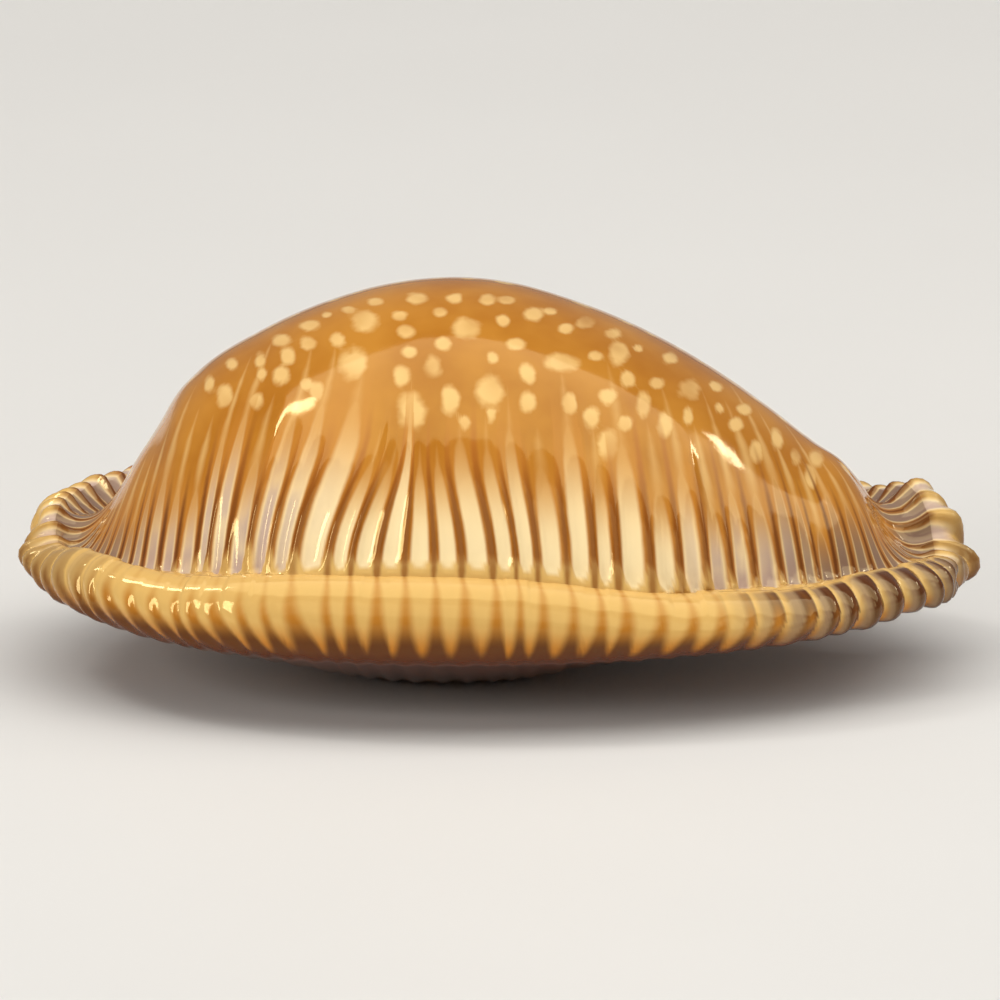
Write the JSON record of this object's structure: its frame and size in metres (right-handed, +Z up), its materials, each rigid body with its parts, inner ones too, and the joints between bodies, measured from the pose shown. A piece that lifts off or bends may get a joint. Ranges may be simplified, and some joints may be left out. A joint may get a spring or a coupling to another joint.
{
  "type": "great spotted cowrie shell",
  "caption": "Empty great spotted cowrie shell: domed spotted back, thick ribbed margin and a toothed slit along a convex base.",
  "frame": {"origin": "on the resting surface, below the middle of the shell's bounding box", "axes": "+X towards the anterior end, -Y towards the outer lip, +Z up through the back"},
  "size_m": [0.0604, 0.0374, 0.0245],
  "materials": {
    "shell": "high natural gloss, amber with pale spots above and red-brown ribs on cream round the margin"
  },
  "bodies": {
    "root": {"shell": "shell"}
  },
  "joints": []
}
